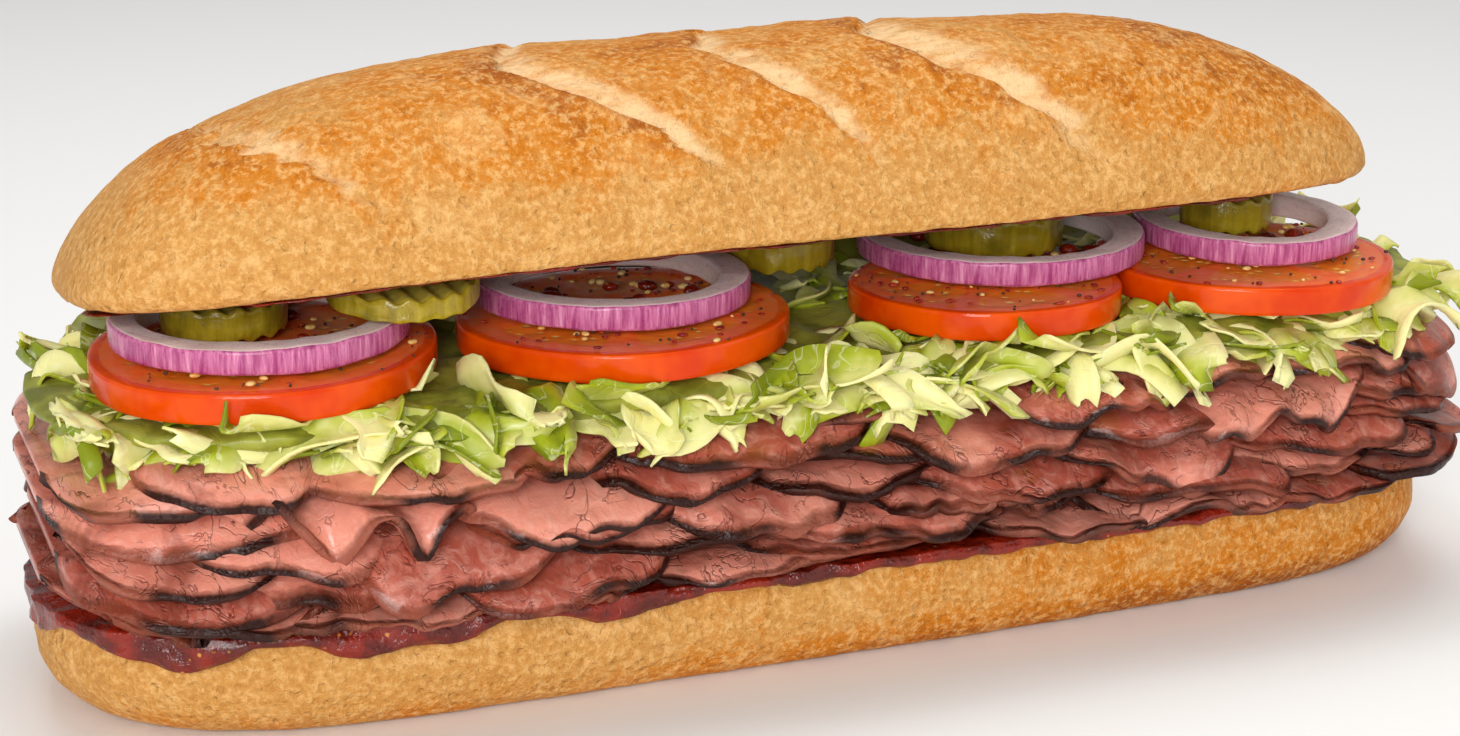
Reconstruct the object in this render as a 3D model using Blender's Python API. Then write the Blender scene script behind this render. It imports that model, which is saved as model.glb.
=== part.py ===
"""A footlong roast beef submarine sandwich, each layer and topping as its own closed solid.

Units are metres, +Z is up. The origin is under the middle of the sandwich, on the surface it
rests on. +X runs along the bread and -Y is the open front.
"""
import math

import bmesh
import bpy
import numpy as np
from mathutils import Matrix, Vector

# ---- driving dimensions ------------------------------------------------------------------------
FILLING_HALF_LENGTH = 0.1555
FILLING_HALF_DEPTH = 0.0540
TOUCH_GAP = 0.0003
FILLING_TAPER = 0.0040

HEEL_HALF_LENGTH = 0.1510
HEEL_HALF_WIDTH = 0.0440
HEEL_HEIGHT = 0.0200
HEEL_ROUNDING = 0.0115
HEEL_SIDE_INSET = 0.0070
HEEL_END_INSET = 0.0120

CROWN_HALF_LENGTH = 0.1365
CROWN_HALF_WIDTH = 0.0435
CROWN_HEIGHT = 0.0385
CROWN_LIP = 0.0030
CROWN_END_SAG = 0.0045
CROWN_SAG_START = -0.0200
CROWN_SHIFT = -0.0060
CROWN_PLANE_HEIGHT = 0.0817
CROWN_TILT_DEGREES = -7.0

SAUCE_THICKNESS = 0.0022
SAUCE_OVERHANG = 0.0010

BEEF_BASE_GAP = 0.0004
BEEF_LAYERS = 5
SLICES_PER_LAYER = 5
BEEF_PITCH = 0.00670
BEEF_GAP = 0.00075
SLICE_OVERLAP = 0.0100
SLICE_STEP = 0.0030
SLICE_END_STEP = 0.0040
HEM_THICKNESS = 0.0026
HEM_SHOULDER = 0.0450
HEM_SPREAD = 0.0022
HEM_DROOP = 0.0015
HEM_DROOP_START = 0.0462
HEM_DROOP_LENGTH = 0.0100

LETTUCE_GAP = 0.0002
LETTUCE_TOP = 0.0640
LETTUCE_REAR_RISE = 0.0080
LETTUCE_REAR_START = 0.0260
LETTUCE_REAR_LENGTH = 0.0120
LETTUCE_HALF_DEPTH = 0.0500
LETTUCE_RAGGEDNESS = 0.0020
LETTUCE_EDGE_DROP = 0.0030
TOMATO_THICKNESS = 0.0057
ONION_SECTION_WIDTH = 0.0060
ONION_SECTION_HEIGHT = 0.0054

# Each topping: middle x, middle y, half length along X, half width along Y.
TOMATOES = (
    (-0.1070, -0.0130, 0.0325, 0.0325),
    (-0.0370, -0.0150, 0.0325, 0.0325),
    (0.0390, -0.0200, 0.0275, 0.0275),
    (0.0990, -0.0210, 0.0310, 0.0310),
)
ONIONS = (
    (-0.1070, -0.0105, 0.0280, 0.0280),
    (-0.0365, -0.0080, 0.0270, 0.0270),
    (0.0505, -0.0030, 0.0300, 0.0305),
    (0.1045, -0.0110, 0.0230, 0.0265),
)
# The ring's section, as height and depth from the outer side, both as shares of its size.
ONION_SECTION = ((0.0, 0.13), (0.35, 0.0), (0.85, 0.0), (1.0, 0.13), (1.0, 0.87), (0.5, 1.0), (0.0, 0.87))
# Each pickle slice: middle x, middle y, radius, underside height, thickness, tilt in degrees.
PICKLES = (
    (-0.1125, -0.0050, 0.0120, 0.0704, 0.0070, 0.0),
    (-0.0815, -0.0190, 0.0145, 0.0774, 0.0046, -5.0),
    (0.0030, 0.0050, 0.0125, 0.0704, 0.0085, 0.0),
    (0.0510, 0.0010, 0.0145, 0.0704, 0.0089, 0.0),
    (0.1050, -0.0025, 0.0100, 0.0704, 0.0080, 0.0),
)


# ---- shared helpers ----------------------------------------------------------------------------
def clear_scene():
    for old in list(bpy.data.objects):
        bpy.data.objects.remove(old, do_unlink=True)


def make_material(name, colour, roughness):
    material = bpy.data.materials.new(name)
    material.use_nodes = True
    shader = material.node_tree.nodes["Principled BSDF"]
    shader.inputs["Base Color"].default_value = (*colour, 1.0)
    shader.inputs["Roughness"].default_value = roughness
    shader.inputs["Metallic"].default_value = 0.0
    return material


def add_object(name, mesh, material, sharp_angle=40.0):
    mesh.materials.append(material)
    mesh.shade_smooth()
    mesh.set_sharp_from_angle(angle=math.radians(sharp_angle))
    thing = bpy.data.objects.new(name, mesh)
    bpy.context.scene.collection.objects.link(thing)
    return thing


def loft(name, rings):
    """A closed body through rings that all have the same number of points, capped at both ends."""
    shape = bmesh.new()
    loops = [[shape.verts.new(point) for point in ring] for ring in rings]
    count = len(loops[0])
    for below, above in zip(loops, loops[1:]):
        for i in range(count):
            j = (i + 1) % count
            shape.faces.new((below[i], below[j], above[j], above[i]))
    shape.faces.new(list(reversed(loops[0])))
    shape.faces.new(loops[-1])
    return finish_mesh(name, shape)


def slab(name, columns, lower, upper):
    """A closed body between two grids, given as functions of a station (x, y)."""
    shape = bmesh.new()
    top = [[shape.verts.new((x, y, upper(x, y, row))) for row, y in enumerate(ys)] for x, ys in columns]
    low = [[shape.verts.new((x, y, lower(x, y, row))) for row, y in enumerate(ys)] for x, ys in columns]
    last_column = len(columns) - 1
    last_row = len(columns[0][1]) - 1
    for i in range(last_column):
        for j in range(last_row):
            shape.faces.new((top[i][j], top[i + 1][j], top[i + 1][j + 1], top[i][j + 1]))
            shape.faces.new((low[i][j], low[i][j + 1], low[i + 1][j + 1], low[i + 1][j]))
        shape.faces.new((low[i][0], low[i + 1][0], top[i + 1][0], top[i][0]))
        shape.faces.new((top[i][last_row], top[i + 1][last_row], low[i + 1][last_row], low[i][last_row]))
    for j in range(last_row):
        shape.faces.new((low[0][j + 1], low[0][j], top[0][j], top[0][j + 1]))
        shape.faces.new(
            (low[last_column][j], low[last_column][j + 1], top[last_column][j + 1], top[last_column][j])
        )
    return finish_mesh(name, shape)


def finish_mesh(name, shape):
    bmesh.ops.recalc_face_normals(shape, faces=shape.faces)
    mesh = bpy.data.meshes.new(name)
    shape.to_mesh(mesh)
    shape.free()
    return mesh


def smooth_step(value):
    value = min(max(value, 0.0), 1.0)
    return value * value * (3.0 - 2.0 * value)


def vary(*keys):
    """A repeatable number between -1 and 1 for a piece."""
    total = sum(math.sin(12.9898 * key + 78.233 * place) for place, key in enumerate(keys, 1))
    return math.sin(43.7585 * total)


# ---- bread -------------------------------------------------------------------------------------
class Plan:
    """A loaf seen from above: long sides that bow a little, and rounded ends."""

    def __init__(self, half_length, half_width, bow, along_power, across_power):
        self.half_length = half_length
        self.half_width = half_width
        self.bow = bow
        self.along_power = along_power
        self.across_power = across_power

    def width_at(self, x):
        along = min(abs(x) / self.half_length, 1.0)
        end = (1.0 - along**self.along_power) ** (1.0 / self.across_power)
        return self.half_width * (1.0 - self.bow * along**2) * end

    def outline(self, count):
        """Evenly spaced points, anticlockwise from the right end."""
        samples = []
        for step in range(1440):
            turn = 2.0 * math.pi * step / 1440
            x = self.half_length * math.copysign(1.0 - (1.0 - abs(math.cos(turn))) ** 2, math.cos(turn))
            samples.append((x, math.copysign(self.width_at(x), math.sin(turn))))
        points = np.array(samples + samples[:1])
        steps = np.linalg.norm(np.diff(points, axis=0), axis=1)
        distance = np.concatenate(([0.0], np.cumsum(steps)))
        wanted = np.linspace(0.0, distance[-1], count, endpoint=False)
        return list(zip(np.interp(wanted, distance, points[:, 0]), np.interp(wanted, distance, points[:, 1])))


HEEL_PLAN = Plan(HEEL_HALF_LENGTH, HEEL_HALF_WIDTH, 0.06, 8.0, 2.0)
SAUCE_PLAN = Plan(HEEL_HALF_LENGTH + SAUCE_OVERHANG, HEEL_HALF_WIDTH + SAUCE_OVERHANG, 0.06, 8.0, 2.0)
CROWN_PLAN = Plan(CROWN_HALF_LENGTH, CROWN_HALF_WIDTH, 0.10, 7.0, 3.0)


def add_heel():
    """The bottom half of the loaf: flat base, rounded lower edge, slightly bulging sides."""
    outline = HEEL_PLAN.outline(40)
    levels = []
    for step in range(5):
        angle = math.radians(90.0 * step / 4)
        levels.append((HEEL_ROUNDING * (1.0 - math.cos(angle)), 1.0 - math.sin(angle)))
    levels.append((0.85 * HEEL_HEIGHT, 0.03))
    levels.append((HEEL_HEIGHT, 0.10))
    rings = []
    for height, inset in levels:
        along = 1.0 - inset * HEEL_END_INSET / HEEL_HALF_LENGTH
        across = 1.0 - inset * HEEL_SIDE_INSET / HEEL_HALF_WIDTH
        rings.append([(x * along, y * across, height) for x, y in outline])
    material = make_material("bread_base", (0.62, 0.37, 0.14), 0.75)
    add_object("bottom_bun", loft("bottom_bun", rings), material)


def crown_dome(x, y):
    """Height of the crust above the lip, over the cut face of the top half."""
    along = abs(x) / CROWN_HALF_LENGTH
    across = min(abs(y) / max(CROWN_PLAN.width_at(x), 1e-6), 1.0)
    ridge = (CROWN_HEIGHT - CROWN_LIP) * (1.0 - along**4.5) ** 0.7
    return ridge * (1.0 - across**2.6) ** (1.0 / 2.2)


def crown_sag(x):
    """How far the left end of the crown droops under its own weight."""
    share = (CROWN_SAG_START - x) / (CROWN_HALF_LENGTH + CROWN_SAG_START)
    return CROWN_END_SAG * max(share, 0.0) ** 2


def add_crown():
    """The top half of the loaf: a long dome on its cut face, leaning back a little."""
    outline = CROWN_PLAN.outline(40)
    rings = []
    for scale, height in ((0.25, 0.0), (0.65, 0.0), (0.97, 0.0), (0.992, 0.4 * CROWN_LIP)):
        rings.append([(x * scale, y * scale, height - crown_sag(x * scale)) for x, y in outline])
    for scale in (0.9999, 0.985, 0.95, 0.88, 0.77, 0.60, 0.36, 0.12):
        ring = []
        for x, y in outline:
            height = CROWN_LIP + crown_dome(x * scale, y * scale) - crown_sag(x * scale)
            ring.append((x * scale, y * scale, height))
        rings.append(ring)
    material = make_material("bread_crust", (0.60, 0.31, 0.09), 0.6)
    crown = add_object("top_bun", loft("top_bun", rings), material)
    crown.location = (CROWN_SHIFT, 0.0, CROWN_PLANE_HEIGHT)
    crown.rotation_euler = (math.radians(CROWN_TILT_DEGREES), 0.0, 0.0)


def add_sauce():
    """The sauce spread on the heel, a thin slab that just passes the bread's edge."""
    outline = SAUCE_PLAN.outline(44)
    base = HEEL_HEIGHT + TOUCH_GAP
    rings = []
    for height, scale in ((0.0, 0.985), (0.5, 1.0), (1.0, 0.985)):
        ring = []
        for i, (x, y) in enumerate(outline):
            ripple = 1.0 + 0.010 * vary(i)
            ring.append((x * scale, y * scale * ripple, base + height * SAUCE_THICKNESS))
        rings.append(ring)
    material = make_material("barbecue_sauce", (0.16, 0.02, 0.01), 0.2)
    add_object("sauce_layer", loft("sauce_layer", rings), material)


# ---- roast beef --------------------------------------------------------------------------------
def beef_surface(level, x, y):
    """The surface under layer number level; level BEEF_LAYERS is the top of the pile."""
    swell = level / BEEF_LAYERS
    wave = 0.0013 * math.sin(2.0 * math.pi * x / 0.080 + 0.3 * level)
    wave += 0.0005 * math.sin(2.0 * math.pi * x / 0.047 + 0.4 * level + 1.0)
    droop = HEM_DROOP * smooth_step((abs(y) - HEM_DROOP_START) / HEM_DROOP_LENGTH)
    base = HEEL_HEIGHT + TOUCH_GAP + SAUCE_THICKNESS + BEEF_BASE_GAP
    return base + level * BEEF_PITCH + swell * wave - droop


def seam_positions(layer):
    """Where the slices of a layer begin, and where the last one ends."""
    ends = FILLING_HALF_LENGTH - 0.0015 * (layer % 3)
    spacing = 2.0 * ends / SLICES_PER_LAYER
    shift = 0.22 * spacing * (1 if layer % 2 else -1)
    seams = [-ends]
    for i in range(1, SLICES_PER_LAYER):
        seams.append(-ends + i * spacing + shift + 0.12 * spacing * vary(layer, i))
    return seams + [ends]


def food_half_depth(x):
    """How far the filling reaches at x, rounding off like the loaf towards the ends."""
    along = min(abs(x) / (FILLING_HALF_LENGTH + FILLING_TAPER), 1.0)
    return math.sqrt(1.0 - along**8)


def hem(layer, index, side, u):
    """The free edge of a slice: one rounded tongue, reaching furthest in the middle."""
    reach = FILLING_HALF_DEPTH - HEM_SPREAD * (1.0 - vary(layer, index, side))
    return HEM_SHOULDER + (reach - HEM_SHOULDER) * math.sin(math.pi * u) ** 0.7


def add_beef_slice(layer, index, material):
    """One slice of a layer; its ends are scarfed over the slices on either side."""
    seams = seam_positions(layer)
    first, last = index == 0, index == SLICES_PER_LAYER - 1
    start, end = seams[index], seams[index + 1] + (0.0 if last else SLICE_OVERLAP)
    inner_start = start + (SLICE_END_STEP if first else SLICE_OVERLAP)
    inner_end = end - (SLICE_END_STEP if last else SLICE_OVERLAP)
    stations = [start, inner_start, inner_start + SLICE_STEP]
    span = inner_end - inner_start - 2.0 * SLICE_STEP
    stations += [inner_start + SLICE_STEP + span * step / 3 for step in (1, 2)]
    stations += [inner_end - SLICE_STEP, inner_end, end]
    columns = []
    for x in stations:
        u = (x - start) / (end - start)
        front = hem(layer, index, 0, u) * food_half_depth(x)
        back = hem(layer, index, 1, u) * food_half_depth(x)
        columns.append((x, (-front, -0.86 * front, -0.35 * front, 0.35 * back, 0.86 * back, back)))

    def split(x, y, seam):
        """The slanted joint where one slice lies over the next."""
        low, high = beef_surface(layer, x, y), beef_surface(layer + 1, x, y) - BEEF_GAP
        along = (x - seam) / SLICE_OVERLAP
        return low + (high - low) * (0.80 - 0.60 * along)

    def lower(x, y, row):
        if not first and x < inner_start + 0.5 * SLICE_STEP:
            return split(x, y, start) + 0.5 * BEEF_GAP
        return beef_surface(layer, x, y)

    def upper(x, y, row):
        height = beef_surface(layer + 1, x, y) - BEEF_GAP
        if not last and x > inner_end - 0.5 * SLICE_STEP:
            height = split(x, y, seams[index + 1]) - 0.5 * BEEF_GAP
        if row in (0, 5):
            height = min(height, lower(x, y, row) + HEM_THICKNESS)
        return height

    number = layer * SLICES_PER_LAYER + index + 1
    name = f"beef_{number:02d}"
    add_object(name, slab(name, columns, lower, upper), material, 50.0)


def add_beef():
    material = make_material("roast_beef", (0.34, 0.12, 0.10), 0.35)
    for layer in range(BEEF_LAYERS):
        for index in range(SLICES_PER_LAYER):
            add_beef_slice(layer, index, material)


# ---- salad -------------------------------------------------------------------------------------
def add_lettuce():
    """The heap of shredded lettuce between the beef and the tomatoes, with a ragged outline."""
    columns = []
    count = 25
    for i in range(count):
        x = (FILLING_HALF_LENGTH - 0.0010) * (2.0 * i / (count - 1) - 1.0)
        front = (LETTUCE_HALF_DEPTH + LETTUCE_RAGGEDNESS * vary(i, 1)) * food_half_depth(x)
        back = (LETTUCE_HALF_DEPTH + LETTUCE_RAGGEDNESS * vary(i, 2)) * food_half_depth(x)
        columns.append((x, (-front, -0.9 * front, -0.5 * front, 0.0, 0.5 * back, 0.9 * back, back)))

    def lower(x, y, row):
        return beef_surface(BEEF_LAYERS, x, y) + LETTUCE_GAP

    def upper(x, y, row):
        edge = LETTUCE_EDGE_DROP if row in (0, 6) else 0.0
        rise = smooth_step((y - LETTUCE_REAR_START) / LETTUCE_REAR_LENGTH)
        rear = LETTUCE_REAR_RISE * rise * food_half_depth(x)
        return LETTUCE_TOP - edge + rear - 0.0009 * abs(vary(1000.0 * x, 1000.0 * y))

    material = make_material("lettuce_leaf", (0.48, 0.58, 0.14), 0.5)
    add_object("lettuce", slab("lettuce", columns, lower, upper), material)


def ellipse(x, y, half_length, half_width, height, count, tilt=0.0):
    """Points of a flat oval; a tilt raises or lowers its front edge about its middle."""
    turns = [2.0 * math.pi * i / count for i in range(count)]
    lean = Matrix.Rotation(math.radians(tilt), 3, "X")
    points = [lean @ Vector((half_length * math.cos(t), half_width * math.sin(t), 0.0)) for t in turns]
    return [(x + p.x, y + p.y, height + p.z) for p in points]


def add_tomatoes():
    """Thick round slices with softened edges."""
    material = make_material("tomato", (0.62, 0.06, 0.02), 0.25)
    base = LETTUCE_TOP + TOUCH_GAP
    for number, (x, y, along, across) in enumerate(TOMATOES, 1):
        rings = []
        for height, inset in ((0.0, 0.0010), (0.15, 0.0), (0.85, 0.0003), (1.0, 0.0014)):
            level = base + height * TOMATO_THICKNESS
            rings.append(ellipse(x, y, along - inset, across - inset, level, 22))
        name = f"tomato_{number}"
        add_object(name, loft(name, rings), material)


def add_onions():
    """Rings of red onion, each an oval tube of rounded section with its hole open."""
    material = make_material("red_onion", (0.50, 0.12, 0.32), 0.3)
    base = LETTUCE_TOP + TOMATO_THICKNESS + 2.0 * TOUCH_GAP
    for number, (x, y, along, across) in enumerate(ONIONS, 1):
        shape = bmesh.new()
        loops = []
        for height, depth in ONION_SECTION:
            inset = depth * ONION_SECTION_WIDTH
            level = base + height * ONION_SECTION_HEIGHT
            ring = ellipse(x, y, along - inset, across - inset, level, 20)
            loops.append([shape.verts.new(point) for point in ring])
        for inner, outer in zip(loops, loops[1:] + loops[:1]):
            for i in range(20):
                j = (i + 1) % 20
                shape.faces.new((inner[i], inner[j], outer[j], outer[i]))
        name = f"onion_{number}"
        add_object(name, finish_mesh(name, shape), material)


def add_pickles():
    """Crinkle-cut pickle slices, a thick disc each."""
    material = make_material("pickle", (0.36, 0.38, 0.05), 0.3)
    for number, (x, y, radius, base, thickness, tilt) in enumerate(PICKLES, 1):
        rings = []
        for height, inset in ((0.0, 0.0008), (0.2, 0.0), (0.8, 0.0), (1.0, 0.0008)):
            size = radius - inset
            rings.append(ellipse(x, y, size, size, base + height * thickness, 18, tilt))
        name = f"pickle_{number}"
        add_object(name, loft(name, rings), material)


def main():
    clear_scene()
    add_heel()
    add_sauce()
    add_beef()
    add_lettuce()
    add_tomatoes()
    add_onions()
    add_pickles()
    add_crown()


if __name__ == "__main__":
    main()
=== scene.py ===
"""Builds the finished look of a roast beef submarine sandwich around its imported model."""
import math

import bpy
import numpy as np
from bpy.props import FloatProperty, FloatVectorProperty, IntProperty, PointerProperty
from bpy.types import Operator, Panel, PropertyGroup
from mathutils import Matrix, Vector, noise


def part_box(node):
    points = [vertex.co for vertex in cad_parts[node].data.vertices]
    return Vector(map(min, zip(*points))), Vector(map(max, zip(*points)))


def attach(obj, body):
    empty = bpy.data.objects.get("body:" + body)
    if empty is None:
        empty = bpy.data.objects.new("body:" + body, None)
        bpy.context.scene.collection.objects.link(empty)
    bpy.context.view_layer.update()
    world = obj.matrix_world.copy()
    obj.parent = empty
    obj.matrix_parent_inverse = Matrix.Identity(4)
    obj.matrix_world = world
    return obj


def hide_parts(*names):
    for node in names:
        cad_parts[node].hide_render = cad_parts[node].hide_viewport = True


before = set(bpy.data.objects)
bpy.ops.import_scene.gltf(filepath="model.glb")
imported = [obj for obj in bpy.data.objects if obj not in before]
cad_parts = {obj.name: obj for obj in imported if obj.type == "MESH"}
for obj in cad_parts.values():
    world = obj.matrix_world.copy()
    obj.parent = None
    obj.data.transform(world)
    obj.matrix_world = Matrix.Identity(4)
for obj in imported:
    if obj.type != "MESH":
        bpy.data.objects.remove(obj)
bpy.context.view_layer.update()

bl_info = {
    "name": "Submarine sandwich",
    "version": (1, 0, 0),
    "blender": (4, 5, 0),
    "location": "3D View > Sidebar > Sandwich",
    "description": "Builds a roast beef submarine sandwich around its packed model",
    "category": "Add Mesh",
}

MM = 0.001
BEEF_NODES = sorted(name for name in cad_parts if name.startswith("beef_"))
TOMATO_NODES = sorted(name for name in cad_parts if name.startswith("tomato_"))
ONION_NODES = sorted(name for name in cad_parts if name.startswith("onion_"))
PICKLE_NODES = sorted(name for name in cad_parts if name.startswith("pickle_"))


def linear(red, green, blue):
    """A colour given as it looks on a screen, 0 to 255, in the linear values that shaders use."""
    channels = []
    for value in (red, green, blue):
        share = value / 255.0
        channels.append(share / 12.92 if share <= 0.04045 else ((share + 0.055) / 1.055) ** 2.4)
    return tuple(channels)


def colour_setting(name, description, rgb):
    return FloatVectorProperty(
        name=name, description=description, default=linear(*rgb), subtype="COLOR", min=0.0, max=1.0
    )


def length_setting(name, description, default):
    return FloatProperty(name=name, description=description, default=default, unit="LENGTH", precision=4)


# ---- settings ----------------------------------------------------------------------------------
class SandwichBreadSettings(PropertyGroup):
    crust_pale: colour_setting("Pale crust", "Floury flecks of the crust", (240, 190, 122))
    crust_gold: colour_setting("Golden crust", "Most of the crust", (207, 148, 76))
    crust_brown: colour_setting("Browned crust", "The lobes between the score marks", (208, 124, 24))
    crust_dark: colour_setting("Dark crust", "Darkest flecks of the crust", (150, 72, 10))
    crust_score: colour_setting("Score marks", "Torn crust inside the score marks", (246, 208, 156))
    crumb: colour_setting("Crumb", "The cut faces of the bread", (232, 205, 150))
    crown_width: length_setting("Crown half width", "Half the width of the top half's cut face", 0.0435)
    crown_height: length_setting("Crown height", "Height of the top half over its cut face", 0.0385)
    crown_lip: length_setting("Crown lip", "Rounded edge at the crown's cut face", 0.0030)
    crown_sag: length_setting("Crown sag", "How far the crown's left end droops", 0.0045)
    crown_tilt: FloatProperty(
        name="Crown tilt", description="How far the crown leans back", default=math.radians(7.0), subtype="ANGLE"
    )
    heel_rounding: length_setting("Heel rounding", "Height of the heel's rounded lower edge", 0.0115)
    score_depth: length_setting("Score depth", "How deep the score marks are", 0.0022)


class SandwichFillingSettings(PropertyGroup):
    meat_rosy: colour_setting("Rosy meat", "Middle of a beef slice", (230, 146, 124))
    meat_deep: colour_setting("Deep meat", "Darker patches of a beef slice", (180, 88, 70))
    meat_fibre: colour_setting("Meat fibres", "Pale fibres of a beef slice", (238, 176, 156))
    # This colour is also the painted shade on the beef core behind the slices.
    meat_crust: colour_setting("Meat crust", "The roasted rim of a slice", (46, 15, 7))
    slice_thickness: length_setting("Slice thickness", "Thickness of a beef slice", 0.0017)
    sauce_colour: colour_setting("Sauce", "Thick barbecue sauce", (84, 13, 4))
    leaf_green: colour_setting("Leaf green", "The greener lettuce", (168, 178, 28))
    leaf_pale: colour_setting("Leaf pale", "The paler lettuce", (242, 232, 162))
    shreds: IntProperty(name="Shreds", description="How many shreds of lettuce", default=430, min=10)
    tomato_skin: colour_setting("Tomato skin", "The side of a tomato slice", (232, 84, 0))
    tomato_flesh: colour_setting("Tomato flesh", "The cut face of a tomato slice", (240, 106, 40))
    tomato_gel: colour_setting("Tomato gel", "The seed chambers", (236, 130, 38))
    onion_skin: colour_setting("Onion skin", "The outer side of an onion ring", (210, 124, 166))
    onion_flesh: colour_setting("Onion flesh", "The cut faces of an onion ring", (246, 226, 220))
    pickle_skin: colour_setting("Pickle skin", "The rim of a pickle slice", (156, 134, 24))
    pickle_flesh: colour_setting("Pickle flesh", "The cut face of a pickle slice", (176, 158, 62))


class SandwichStageSettings(PropertyGroup):
    azimuth: FloatProperty(
        name="Azimuth", description="Camera angle round the sandwich", default=math.radians(-21.0), subtype="ANGLE"
    )
    elevation: FloatProperty(
        name="Elevation", description="Camera angle over the floor", default=math.radians(17.0), subtype="ANGLE"
    )
    distance: length_setting("Distance", "From the camera to its target", 0.575)
    lens: FloatProperty(name="Lens", description="Focal length in millimetres", default=69.04)
    floor_colour: colour_setting("Floor", "Plain pale floor", (246, 245, 243))
    key_power: FloatProperty(name="Key light", description="Power of the key light", default=11.5, unit="POWER")
    fill_power: FloatProperty(name="Fill light", description="Power of the fill light", default=1.2, unit="POWER")


# ---- materials ---------------------------------------------------------------------------------
class Value:
    """A number that varies over a surface. Arithmetic on it adds Math nodes."""

    def __init__(self, finish, socket):
        self.finish = finish
        self.socket = socket

    def join(self, operation, first, second):
        node = self.finish.node("ShaderNodeMath", {"operation": operation}, {0: first, 1: second})
        return Value(self.finish, node.outputs[0])

    def __add__(self, other):
        return self.join("ADD", self, other)

    def __sub__(self, other):
        return self.join("SUBTRACT", self, other)

    def __rsub__(self, other):
        return self.join("SUBTRACT", other, self)

    def __mul__(self, other):
        return self.join("MULTIPLY", self, other)

    def __pow__(self, other):
        return self.join("POWER", self, other)

    __radd__ = __add__
    __rmul__ = __mul__

    def larger(self, other):
        return self.join("MAXIMUM", self, other)

    def step(self, low, high):
        """0 below low, 1 above high, smooth between; high may be the lower one."""
        values = {0: self, 1: low, 2: high, 3: 0.0, 4: 1.0}
        if low > high:
            values = {0: self, 1: high, 2: low, 3: 1.0, 4: 0.0}
        node = self.finish.node("ShaderNodeMapRange", {"interpolation_type": "SMOOTHSTEP"}, values)
        return Value(self.finish, node.outputs[0])


class Finish:
    """One material, built up node by node around its Principled shader."""

    def __init__(self, name, **constants):
        self.material = bpy.data.materials.new(name)
        self.material.use_nodes = True
        self.tree = self.material.node_tree
        self.shader = self.tree.nodes["Principled BSDF"]
        for socket, value in constants.items():
            self.shader.inputs[socket.replace("_", " ")].default_value = value
        self.place = self.node("ShaderNodeTexCoord").outputs["Object"]

    def node(self, kind, settings=None, inputs=None):
        node = self.tree.nodes.new(kind)
        for name, value in (settings or {}).items():
            setattr(node, name, value)
        for name, value in (inputs or {}).items():
            self.feed(node.inputs[name], value)
        return node

    def feed(self, socket, value):
        if isinstance(value, Value):
            value = value.socket
        if isinstance(value, bpy.types.NodeSocket):
            self.tree.links.new(value, socket)
        elif socket.type == "RGBA" and len(value) == 3:
            socket.default_value = (*value, 1.0)
        else:
            socket.default_value = value

    def stretched(self, scale, source=None, turn=(0.0, 0.0, 0.0)):
        inputs = {"Vector": source or self.place, "Scale": scale, "Rotation": turn}
        return self.node("ShaderNodeMapping", {}, inputs).outputs[0]

    def noise(self, scale, detail=3.0, rough=0.55, vector=None, swirl=0.0):
        inputs = {"Vector": vector or self.place, "Scale": scale, "Detail": detail}
        inputs.update({"Roughness": rough, "Distortion": swirl})
        return Value(self, self.node("ShaderNodeTexNoise", {}, inputs).outputs[0])

    def cells(self, scale, feature="F1", vector=None, output="Distance"):
        inputs = {"Vector": vector or self.place, "Scale": scale}
        return Value(self, self.node("ShaderNodeTexVoronoi", {"feature": feature}, inputs).outputs[output])

    def attribute(self, name):
        return Value(self, self.node("ShaderNodeAttribute", {"attribute_name": name}).outputs["Fac"])

    def height(self):
        parts = self.node("ShaderNodeSeparateXYZ", {}, {0: self.place})
        return Value(self, parts.outputs[2])

    def mix(self, factor, first, second, blend="MIX"):
        settings = {"data_type": "RGBA", "blend_type": blend}
        return self.node("ShaderNodeMix", settings, {0: factor, 6: first, 7: second}).outputs[2]

    def finish(self, colour, roughness=None, bumps=()):
        """Links the colour, the roughness and a chain of bumps given as (height, distance, strength)."""
        self.feed(self.shader.inputs["Base Color"], colour)
        if roughness is not None:
            self.feed(self.shader.inputs["Roughness"], roughness)
        normal = None
        for height, distance, strength in bumps:
            inputs = {"Height": height, "Distance": distance, "Strength": strength}
            if normal:
                inputs["Normal"] = normal
            normal = self.node("ShaderNodeBump", {}, inputs).outputs[0]
        if normal:
            self.feed(self.shader.inputs["Normal"], normal)
        return self.material


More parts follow.
